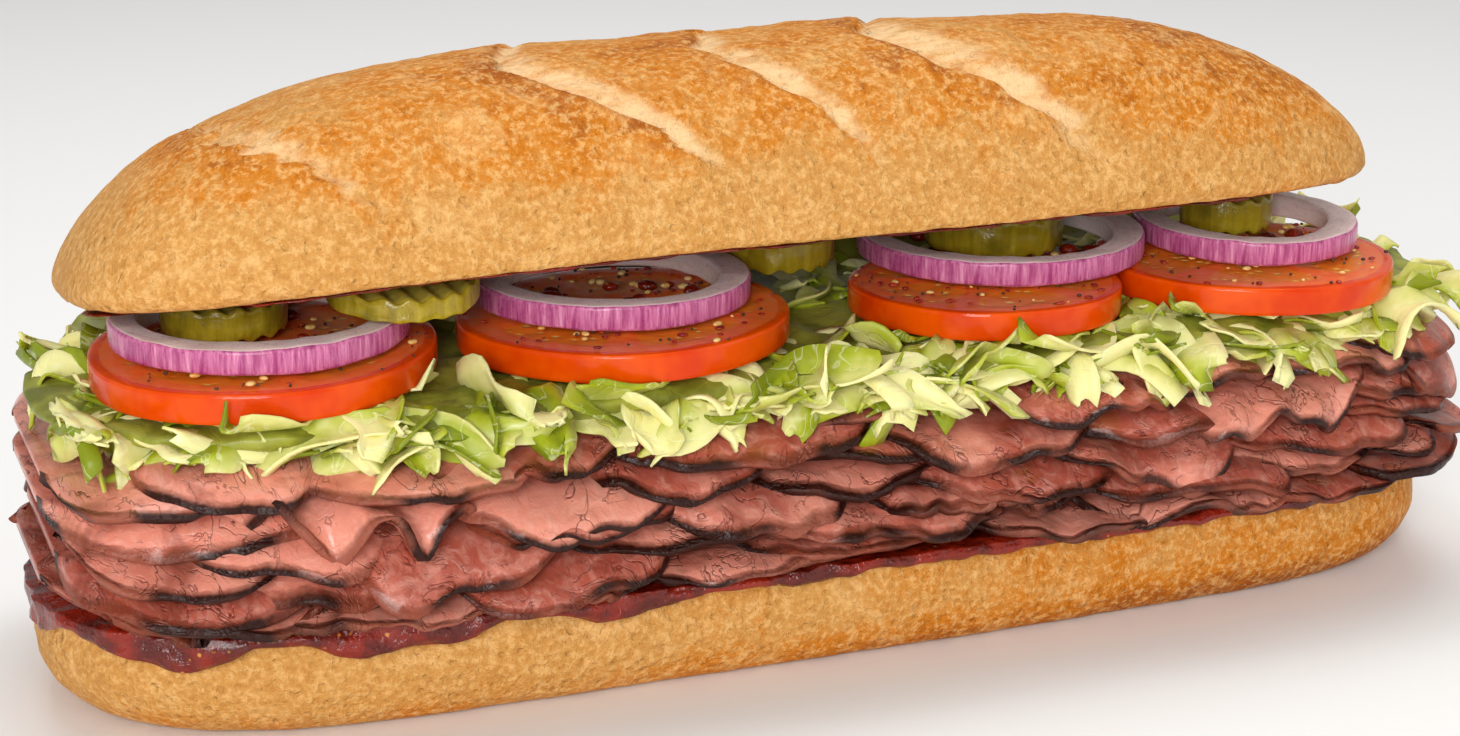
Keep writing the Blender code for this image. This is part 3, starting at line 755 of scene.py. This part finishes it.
def shape_slice(name, node, number, part, thickness):
    """One thin slice through the pile, whose front and rear hems hang as fluted tongues."""
    rng = np.random.default_rng(400 + 7 * number + 131 * part)
    layer = (number - 1) // 5
    middle, half = node_frame(node)
    thing, across, along = add_sheet(name, 64, 72)
    u = (across + 1.0) / 2.0
    side = np.sign(along)
    inner = np.abs(along)
    reach_share = np.where(inner < 0.12, inner / 0.12 * 0.70, 0.70 + 0.30 * (inner - 0.12) / 0.88)
    hem = np.clip((reach_share - 0.70) / 0.30, 0.0, 1.0)
    shift = (-0.30, 0.34)[part]
    x = middle[0] + half[0] * (shift + (1.0 - abs(shift)) * across)
    reach, drop, fold = FOLDS.get((number, part), (rng.uniform(48.0, 55.0), rng.uniform(3.0, 8.0), rng.uniform(0.5, 2.2)))
    if layer == 0:
        drop = min(drop, rng.uniform(1.0, 3.0))
    peak = rng.uniform(0.3, 0.7)
    warped = np.where(u < peak, 0.5 * u / peak, 0.5 + 0.5 * (u - peak) / (1.0 - peak))
    tongue = np.clip(1.0 - np.abs(2.0 * warped - 1.0) ** rng.uniform(1.6, 3.4), 0.0, 1.0) ** 0.65
    tongue = tongue * (1.0 + 0.07 * ripple(x, 0.020, 40 + number + 50 * part, 3))
    food_end = np.sqrt(np.clip(1.0 - (np.abs(x) / 0.1600) ** 8, 0.02, 1.0))
    root = 0.0375
    out = MM * reach - root
    turn = rng.uniform(1.0, 1.5)
    y = np.where(hem > 0.0, root + out * tongue * np.sin(hem * turn) / math.sin(turn), root * reach_share / 0.70)
    y = y * food_end
    lean = rng.uniform(-2.2, 2.2) * (u - 0.5) * hem
    droop = drop * (0.35 + 0.65 * tongue) * hem ** rng.uniform(1.4, 2.2)
    wave = rng.uniform(0.020, 0.036)
    flute = ripple(x + 0.25 * y * side, wave, 60 + number + 50 * part, 2)
    flute = flute + 0.35 * ripple(x, 0.4 * wave, 90 + number, 3)
    swing = fold * flute * hem**1.3
    shingle = 1.6 * (1.0 - u) + 1.3 * part
    base = 1000.0 * (middle[2] + half[2]) - 3.4
    z = MM * (base + shingle + 0.5 * ripple(x, 0.060, 7 + layer, 3) + lean + swing - droop)
    y = y + MM * 0.5 * swing * hem
    x = x + MM * rng.uniform(-5.0, 5.0) * hem**1.5 * tongue
    points = np.stack([x, side * y, z], axis=1)
    points[:, 2] += MM * (0.30 * roughen(points, 0.0085, number) + 0.10 * roughen(points, 0.0026, number)) * hem
    points[:, 1] += MM * 0.22 * roughen(points, 0.005, number + 30) * hem
    inside = smooth(-np.abs(points[:, 1]), -0.0475, -0.0455)
    floor = 0.0236 + 0.0005 * np.clip(flute, -1.0, 1.0) - 0.0012 * (1.0 - inside)
    points[:, 2] = np.maximum(points[:, 2], floor)
    points[:, 0] = draw_in(points[:, 0], 0.138, rng.uniform(0.1500, 0.1560))
    points[:, 0] -= 0.0025 * smooth(points[:, 0], 0.10, 0.155)
    points[:, 1] = draw_in(points[:, 1], 0.051, 0.0555)
    gather = 0.28 * smooth(np.abs(points[:, 0]), 0.122, 0.156)
    points[:, 2] += gather * (0.0400 - points[:, 2])
    write_points(thing, points)
    length = 1000.0 * out * tongue * 1.2 + 0.5 * drop
    rim = np.minimum((1.0 - hem) * length, 2000.0 * half[0] * np.minimum(u, 1.0 - u))
    write_attribute(thing, "rim", np.where(hem <= 0.0, 9.0, rim))
    write_attribute(thing, "tone", np.full(len(points), rng.uniform(0.0, 1.0)))
    apply_modifier(thing, "SOLIDIFY", thickness=thickness, offset=-1.0, use_even_offset=False)
    return thing


def join_pieces(name, pieces):
    deselect_all()
    for piece in pieces:
        piece.select_set(True)
    bpy.context.view_layer.objects.active = pieces[0]
    bpy.ops.object.join()
    return named(name)


class SANDWICH_OT_beef(Operator):
    """Lays the folded slices of roast beef and the meat behind them, painted dark as the shade between the slices"""

    bl_idname = "sandwich.beef"
    bl_label = "Roast beef"

    def execute(self, context):
        filling = context.scene.sandwich_filling
        material = beef_material("roast_beef", filling)
        for number, node in enumerate(BEEF_NODES, 1):
            name = f"beef_slice_{number:02d}"
            halves = [shape_slice(name, node, number, part, filling.slice_thickness) for part in (0, 1)]
            thing = join_pieces(name, halves)
            settle(thing, material, (node,))
        low = min(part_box(node)[0][2] for node in BEEF_NODES)
        high = max(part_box(node)[1][2] for node in BEEF_NODES)
        core, turn, lift = add_ball("beef_core", 200, 60)
        plan = Plan(0.146, 0.0385, 0.06, 8.0, 2.0)
        edge_x, edge_y = plan.outline(turn)
        spread = np.abs(np.cos(lift)) ** 0.25
        z = (low + high) / 2.0 + (high - low) / 2.0 * 0.93 * np.sign(lift) * np.abs(np.sin(lift)) ** 0.6
        points = np.stack([edge_x * spread, edge_y * spread, z], axis=1)
        points[:, 1] += MM * 1.2 * roughen(points, 0.008, 31)
        write_points(core, points)
        # Painted shade: the core's low rim value and full tone give it the dark crust colour and the deep meat colour,
        # so the gaps between the slices look shaded.
        write_attribute(core, "rim", np.full(len(points), 1.2))
        write_attribute(core, "tone", np.full(len(points), 1.0))
        settle(core, material)
        return {"FINISHED"}


# ---- lettuce -----------------------------------------------------------------------------------
def turned(angle, axis):
    """The rotation matrix for an angle about X, Y or Z."""
    return np.array(Matrix.Rotation(angle, 3, axis))


def scatter_shreds(name, count, seed, place, length_range, width_range):
    """Many curled shreds as one mesh; place gives each one's middle, heading and droop."""
    rng = np.random.default_rng(seed)
    thing, across, along = add_sheet(name, 12, 6)
    one = len(across)
    faces = np.array([list(face.vertices) for face in thing.data.polygons])
    all_points = []
    tones = []
    for _ in range(count):
        length = rng.uniform(*length_range) * MM
        width = rng.uniform(*width_range) * MM
        middle, heading, droop = place(rng)
        taper = np.clip(1.0 - np.abs(across + rng.uniform(-0.2, 0.2)) ** rng.uniform(2.0, 5.0), 0.02, 1.0)
        wide = 0.5 * width * (0.30 + 0.70 * taper**0.6)
        bow = rng.uniform(-0.35, 0.35) * length * across**2
        local_x = 0.5 * length * across + 0.06 * length * np.sin(4.0 * along + rng.uniform(0.0, 6.0))
        local_y = wide * along + bow + 0.06 * width * np.sin(5.0 * across + rng.uniform(0.0, 6.0))
        cup = rng.uniform(-0.9, 0.9) * width * 0.45 * along**2
        arch = rng.uniform(-0.35, 0.12) * length * across**2
        ruffle = 0.09 * width * np.sin(rng.uniform(3.0, 6.0) * across + rng.uniform(0.0, 6.0)) * (0.3 + along)
        fold = 0.06 * width * np.abs(np.sin(rng.uniform(2.0, 4.0) * along + 2.0 * across))
        local = np.stack([local_x, local_y, cup + arch + ruffle + fold], axis=1)
        pose = turned(heading, "Z") @ turned(droop, "Y") @ turned(rng.uniform(-0.8, 0.8), "X")
        all_points.append(local @ pose.T + middle)
        green_edge = along * rng.choice((-1.0, 1.0))
        tones.append(rng.uniform(0.0, 0.85) + 0.35 * green_edge + 0.15 * across)
    for points in all_points:
        points[:, 0] = draw_in(points[:, 0], 0.128, 0.1515)
        points[:, 1] = np.clip(points[:, 1], -0.0555, 0.0555)
        for node in TOMATO_NODES:
            middle, half = node_frame(node)
            under = np.hypot((points[:, 0] - middle[0]) / half[0], (points[:, 1] - middle[1]) / half[1]) < 1.06
            points[:, 2] = np.where(under, np.minimum(points[:, 2], middle[2] - half[2] - 0.0002), points[:, 2])
    return replace_mesh(thing, name, all_points, faces, one, tones)


def replace_mesh(thing, name, all_points, faces, one, tones=None):
    """Gives a thing a mesh of many copies, each with its own points."""
    copies = np.concatenate([faces + one * i for i in range(len(all_points))])
    mesh = bpy.data.meshes.new(name)
    mesh.from_pydata(np.concatenate(all_points).tolist(), [], copies.tolist())
    old = thing.data
    thing.data = mesh
    bpy.data.meshes.remove(old)
    if tones is not None:
        write_attribute(thing, "tone", np.concatenate(tones))
        apply_modifier(thing, "SOLIDIFY", thickness=0.0005, offset=0.0)
    return thing


class SANDWICH_OT_lettuce(Operator):
    """Heaps shredded lettuce over a smaller core"""

    bl_idname = "sandwich.lettuce"
    bl_label = "Lettuce"

    def execute(self, context):
        filling = context.scene.sandwich_filling
        middle, half = node_frame("lettuce")
        low = middle[2] - half[2]
        core, turn, lift = add_ball("lettuce_core", 220, 50)
        plan = Plan(half[0] * 0.97, half[1] * 0.90, 0.06, 8.0, 2.0)
        edge_x, edge_y = plan.outline(turn)
        spread = np.abs(np.cos(lift)) ** 0.3
        x, y = edge_x * spread, edge_y * spread
        rear = 0.0070 * smooth(y, 0.026, 0.038) * (lift > 0.0)
        z = low + 0.0056 + 0.0030 * np.sign(lift) * np.abs(np.sin(lift)) ** 0.6 + rear
        points = np.stack([x, y, z], axis=1)
        points[:, 2] += MM * 0.8 * roughen(points, 0.006, 51)
        points[:, 1] += MM * 1.0 * roughen(points, 0.007, 52)
        write_points(core, points)
        settle(core, lettuce_material("lettuce_shade", filling, core=True), ("lettuce",))

        leaf = lettuce_material("lettuce_leaf", filling)
        reach = half[0] * 0.965
        rim = Plan(reach, half[1] * 0.93, 0.06, 8.0, 2.0)

        def around(rng):
            share = rng.uniform(0.0, 2.0 * math.pi)
            edge_x, edge_y = rim.outline(np.array([share]))
            pull = rng.uniform(0.84, 0.98)
            lift = rng.uniform(0.0, 4.0)
            if edge_y[0] > 0.0 and abs(edge_x[0]) < 0.135:
                lift = rng.uniform(0.0, 10.0)
            place = np.array([edge_x[0] * pull, edge_y[0] * pull, low + 0.0035 + MM * lift])
            return place, rng.uniform(-1.2, 1.2), rng.uniform(-0.25, 0.25)

        def hanging(rng):
            share = rng.uniform(0.0, 2.0 * math.pi)
            edge_x, edge_y = rim.outline(np.array([share]))
            outward = math.atan2(edge_y[0] / half[1] ** 2, edge_x[0] / half[0] ** 2)
            pull = rng.uniform(0.90, 0.98)
            place = np.array([edge_x[0] * pull, edge_y[0] * pull, low + 0.0030 + MM * rng.uniform(-0.3, 2.5)])
            return place, outward + rng.uniform(-1.1, 1.1), rng.uniform(0.0, 0.42)

        def over(rng):
            place = np.array([rng.uniform(-reach, reach), rng.uniform(-0.044, 0.024), low + 0.0080])
            return place, rng.uniform(0.0, math.pi), rng.uniform(-0.10, 0.10)

        total = filling.shreds
        groups = (
            ("lettuce_rim", int(total * 0.40), 61, around, (16.0, 32.0), (7.0, 13.0)),
            ("lettuce_hanging", int(total * 0.30), 62, hanging, (12.0, 20.0), (6.0, 12.0)),
            ("lettuce_top", int(total * 0.30), 63, over, (16.0, 30.0), (7.0, 13.0)),
        )
        for name, count, seed, place, lengths, widths in groups:
            shreds = scatter_shreds(name, count, seed, place, lengths, widths)
            settle(shreds, leaf)
        return {"FINISHED"}


# ---- round toppings ----------------------------------------------------------------------------
def disc_path(path, edge):
    """Radius and height, as shares, along a disc's section from its underside to its top."""
    stations = (0.0, 0.30, 0.36, 0.42, 0.50, 0.58, 0.64, 0.70, 1.0)
    radii = (0.0, 1.0 - edge, 1.0 - 0.35 * edge, 1.0 - 0.05 * edge, 1.0, 1.0 - 0.05 * edge)
    radii = radii + (1.0 - 0.35 * edge, 1.0 - edge, 0.0)
    heights = (-1.0, -1.0, -0.94, -0.72, 0.0, 0.72, 0.94, 1.0, 1.0)
    return np.interp(path, stations, radii), np.interp(path, stations, heights)


class SANDWICH_OT_tomatoes(Operator):
    """Shapes the tomato slices with their seed chambers"""

    bl_idname = "sandwich.tomatoes"
    bl_label = "Tomatoes"

    def execute(self, context):
        filling = context.scene.sandwich_filling
        material = tomato_material("tomato", filling)
        for number, node in enumerate(TOMATO_NODES, 1):
            middle, half = node_frame(node)
            thing, turn, lift = add_ball(f"tomato_slice_{number}", 150, 90)
            radius, height = disc_path(lift / math.pi + 0.5, 0.025)
            wobble = 1.0 + 0.010 * np.sin(2.0 * turn + number) + 0.008 * np.sin(5.0 * turn + 2.0 * number)
            x = middle[0] + half[0] * radius * wobble * np.cos(turn)
            y = middle[1] + half[1] * radius * wobble * np.sin(turn)
            z = middle[2] + half[2] * height
            lobes = np.abs(np.sin(2.5 * turn + 0.8 * number)) ** 0.6
            gel = smooth(radius, 0.30, 0.42) * smooth(-radius, -0.84, -0.76) * smooth(lobes, 0.35, 0.7)
            face = (np.abs(height) > 0.97) * smooth(-radius, -0.97, -0.90)
            points = np.stack([x, y, z], axis=1)
            points[:, 2] -= MM * 0.5 * gel * np.sign(height) * face
            points[:, 2] += MM * 0.16 * roughen(points, 0.004, 70 + number) * face
            points[:, 2] += MM * 0.5 * np.sin(turn + number) * radius
            points = fit_to(points, node)
            points[:, 2] -= MM * 1.0 * smooth(-height, -0.2, 0.9)
            write_points(thing, points)
            write_attribute(thing, "gel", gel * face)
            write_attribute(thing, "face", face)
            settle(thing, material, (node,))
        return {"FINISHED"}


class SANDWICH_OT_onions(Operator):
    """Shapes the rings of red onion"""

    bl_idname = "sandwich.onions"
    bl_label = "Onion rings"

    def execute(self, context):
        filling = context.scene.sandwich_filling
        material = onion_material("red_onion", filling)
        for number, node in enumerate(ONION_NODES, 1):
            middle, half = node_frame(node)
            deselect_all()
            bpy.ops.mesh.primitive_torus_add(
                major_segments=200, minor_segments=32, major_radius=1.0, minor_radius=0.25, generate_uvs=True
            )
            thing = named(f"onion_ring_{number}")
            flat = read_points(thing)
            turn = np.arctan2(flat[:, 1], flat[:, 0])
            around = np.arctan2(flat[:, 2], np.hypot(flat[:, 0], flat[:, 1]) - 1.0)
            side, rise = np.cos(around), np.sin(around)
            box_side = np.sign(side) * np.abs(side) ** 0.28
            box_rise = np.sign(rise) * np.abs(rise) ** 0.28
            section = 0.0030 * (1.0 + 0.10 * np.sin(3.0 * turn + number))
            depth = section * (1.0 - box_side)
            wobble = 1.0 + 0.012 * np.sin(2.0 * turn + 1.7 * number) + 0.006 * np.sin(3.0 * turn - number)
            x = middle[0] + (half[0] * wobble - depth) * np.cos(turn)
            y = middle[1] + (half[1] * wobble - depth) * np.sin(turn)
            z = middle[2] + half[2] * box_rise * (1.0 + 0.04 * np.sin(4.0 * turn + number))
            points = np.stack([x, y, z], axis=1)
            points[:, 2] += MM * 0.12 * roughen(points, 0.004, 80 + number)
            write_points(thing, fit_to(points, node))
            write_attribute(thing, "outer", smooth(side, 0.45, 0.75))
            settle(thing, material, (node,))
        return {"FINISHED"}


class SANDWICH_OT_pickles(Operator):
    """Shapes the crinkle-cut pickle slices"""

    bl_idname = "sandwich.pickles"
    bl_label = "Pickles"

    def execute(self, context):
        filling = context.scene.sandwich_filling
        material = pickle_material("pickle", filling)
        for number, node in enumerate(PICKLE_NODES, 1):
            middle, half = node_frame(node)
            thing, turn, lift = add_ball(f"pickle_slice_{number}", 180, 90)
            radius, height = disc_path(lift / math.pi + 0.5, 0.07)
            wobble = 1.0 + 0.02 * np.sin(2.0 * turn + number) + 0.012 * np.sin(7.0 * turn + number)
            x = middle[0] + half[0] * radius * wobble * np.cos(turn)
            y = middle[1] + half[1] * radius * wobble * np.sin(turn)
            crinkle = 0.55 * np.sin(2.0 * math.pi * (x + 0.15 * y) / 0.0044 + number)
            z = middle[2] + half[2] * height + MM * crinkle * height**2
            points = np.stack([x, y, z], axis=1)
            points[:, 1] += MM * 0.18 * roughen(points, 0.003, 90 + number)
            points = fit_to(points, node)
            if number == 2:
                points[:, 2] += 0.62 * (points[:, 2] < middle[2]) * (middle[2] - points[:, 2]) - 0.0008
                points[:, 2] += (points[:, 1] - middle[1]) * math.tan(math.radians(7.0))
            write_points(thing, points)
            write_attribute(thing, "face", smooth(np.abs(height), 0.95, 0.999))
            settle(thing, material, (node,))
        return {"FINISHED"}


# ---- scattered bits ----------------------------------------------------------------------------
def scatter_bits(name, count, seed, size, flatness, spots):
    """Small lumps as one mesh, lying on the given round spots (x, y, radius, height)."""
    rng = np.random.default_rng(seed)
    deselect_all()
    bpy.ops.mesh.primitive_ico_sphere_add(subdivisions=2, radius=1.0)
    thing = named(name)
    ball = read_points(thing)
    faces = np.array([list(face.vertices) for face in thing.data.polygons])
    all_points = []
    for _ in range(count):
        x, y, radius, height = spots[rng.integers(len(spots))]
        turn, reach = rng.uniform(0.0, 2.0 * math.pi), radius * math.sqrt(rng.uniform(0.05, 1.0))
        grain = size * rng.uniform(0.6, 1.5)
        shape = ball * grain * np.array([1.0, rng.uniform(0.5, 0.9), flatness])
        spin = rng.uniform(0.0, math.pi)
        turned = shape.copy()
        turned[:, 0] = shape[:, 0] * math.cos(spin) - shape[:, 1] * math.sin(spin)
        turned[:, 1] = shape[:, 0] * math.sin(spin) + shape[:, 1] * math.cos(spin)
        middle = np.array([x + reach * math.cos(turn), y + reach * math.sin(turn), height + 0.3 * grain * flatness])
        all_points.append(turned + middle)
    return replace_mesh(thing, name, all_points, faces, len(ball))


class SANDWICH_OT_seasoning(Operator):
    """Scatters pepper, chilli flakes and seeds over the toppings"""

    bl_idname = "sandwich.seasoning"
    bl_label = "Seasoning"

    def execute(self, context):
        tomato_tops = []
        for node in TOMATO_NODES:
            middle, half = node_frame(node)
            tomato_tops.append((middle[0], middle[1], half[0] * 0.96, middle[2] + half[2]))
        pepper = speck_material("black_pepper", linear(30, 20, 14), linear(90, 56, 34))
        flakes = speck_material("chilli_flakes", linear(120, 18, 8), linear(176, 52, 20), 0.25)
        seeds = speck_material("pale_seeds", linear(214, 160, 74), linear(240, 208, 136), 0.3)
        kinds = (
            ("pepper_specks", 260, 101, 0.00035, 0.7, pepper),
            ("chilli_flakes", 150, 102, 0.00075, 0.35, flakes),
            ("pale_seeds", 60, 103, 0.00075, 0.45, seeds),
        )
        for name, count, seed, size, flatness, material in kinds:
            thing = scatter_bits(name, count, seed, size, flatness, tomato_tops)
            settle(thing, material)
        holes = []
        for node, share in (("onion_1", 0.62), ("onion_2", 0.72), ("onion_3", 0.7), ("onion_4", 0.66)):
            middle, half = node_frame(node)
            holes.append((middle[0], middle[1], half[0] * share, middle[2] - half[2]))
        for node in PICKLE_NODES:
            middle, half = node_frame(node)
            holes.append((middle[0], middle[1], half[0] * 0.8, middle[2] + half[2]))
        filling = context.scene.sandwich_filling
        chunks = scatter_bits("sauce_chunks", 130, 104, 0.0019, 0.5, holes)
        settle(chunks, sauce_material("sauce_bits", filling))
        hole_seeds = scatter_bits("ring_seeds", 60, 105, 0.0008, 0.5, holes[:4])
        settle(hole_seeds, seeds)
        return {"FINISHED"}


# ---- stage -------------------------------------------------------------------------------------
def add_area_light(name, place, target, size, power, colour=(1.0, 1.0, 1.0)):
    deselect_all()
    bpy.ops.object.light_add(type="AREA", location=place)
    lamp = bpy.context.object
    lamp.name = name
    lamp.data.shape = "RECTANGLE"
    lamp.data.size, lamp.data.size_y = size
    lamp.data.energy = power
    lamp.data.color = colour
    aim = Vector(target) - Vector(place)
    lamp.rotation_euler = aim.to_track_quat("-Z", "Y").to_euler()


class SANDWICH_OT_stage(Operator):
    """Sets the pale floor, the soft lights and the camera"""

    bl_idname = "sandwich.stage"
    bl_label = "Stage"

    def execute(self, context):
        stage = context.scene.sandwich_stage
        context.scene.view_settings.view_transform = "Standard"
        deselect_all()
        bpy.ops.mesh.primitive_plane_add(size=8.0, location=(0.0, 0.0, -0.0002))
        floor = named("floor")
        floor.data.materials.append(floor_material("pale_floor", stage))
        world = bpy.data.worlds.new("soft_room")
        world.use_nodes = True
        world.node_tree.nodes["Background"].inputs[0].default_value = (1.0, 1.0, 1.0, 1.0)
        world.node_tree.nodes["Background"].inputs[1].default_value = 0.42
        context.scene.world = world
        centre = (0.0, 0.0, 0.06)
        add_area_light("key_light", (-0.60, -1.10, 0.50), centre, (0.50, 0.50), stage.key_power)
        add_area_light("fill_light", (0.9, -0.8, 0.5), centre, (0.8, 0.6), stage.fill_power)
        add_area_light("top_light", (0.1, 0.25, 1.1), centre, (1.0, 0.5), stage.key_power * 0.6)
        target = Vector((-0.0085, 0.0, 0.050))
        azimuth, elevation = stage.azimuth, stage.elevation
        back = Vector(
            (
                math.sin(azimuth) * math.cos(elevation),
                -math.cos(azimuth) * math.cos(elevation),
                math.sin(elevation),
            )
        )
        bpy.ops.object.camera_add(location=target + back * stage.distance)
        camera = bpy.context.object
        camera.name = "camera"
        camera.rotation_euler = (-back).to_track_quat("-Z", "Y").to_euler()
        camera.data.lens = stage.lens
        camera.data.sensor_width = 36.0
        camera.data.clip_start = 0.01
        context.scene.camera = camera
        return {"FINISHED"}


class SANDWICH_PT_panel(Panel):
    """Lists the sandwich's pieces"""

    bl_label = "Submarine sandwich"
    bl_idname = "SANDWICH_PT_panel"
    bl_space_type = "VIEW_3D"
    bl_region_type = "UI"
    bl_category = "Sandwich"

    def draw(self, context):
        for operator in OPERATORS:
            self.layout.operator(operator.bl_idname)
        for group in ("sandwich_bread", "sandwich_filling", "sandwich_stage"):
            settings = getattr(context.scene, group)
            for name in settings.__annotations__:
                self.layout.prop(settings, name)


OPERATORS = (
    SANDWICH_OT_stage,
    SANDWICH_OT_heel,
    SANDWICH_OT_sauce,
    SANDWICH_OT_beef,
    SANDWICH_OT_lettuce,
    SANDWICH_OT_tomatoes,
    SANDWICH_OT_onions,
    SANDWICH_OT_pickles,
    SANDWICH_OT_seasoning,
    SANDWICH_OT_crown,
)
SETTINGS = {
    "sandwich_bread": SandwichBreadSettings,
    "sandwich_filling": SandwichFillingSettings,
    "sandwich_stage": SandwichStageSettings,
}


def register():
    for kind in (*SETTINGS.values(), *OPERATORS, SANDWICH_PT_panel):
        bpy.utils.register_class(kind)
    for name, kind in SETTINGS.items():
        setattr(bpy.types.Scene, name, PointerProperty(type=kind))


def unregister():
    for name in SETTINGS:
        delattr(bpy.types.Scene, name)
    for kind in (SANDWICH_PT_panel, *reversed(OPERATORS), *SETTINGS.values()):
        bpy.utils.unregister_class(kind)


def main():
    register()
    for operator in OPERATORS:
        group, name = operator.bl_idname.split(".")
        getattr(getattr(bpy.ops, group), name)()


if __name__ == "__main__":
    main()
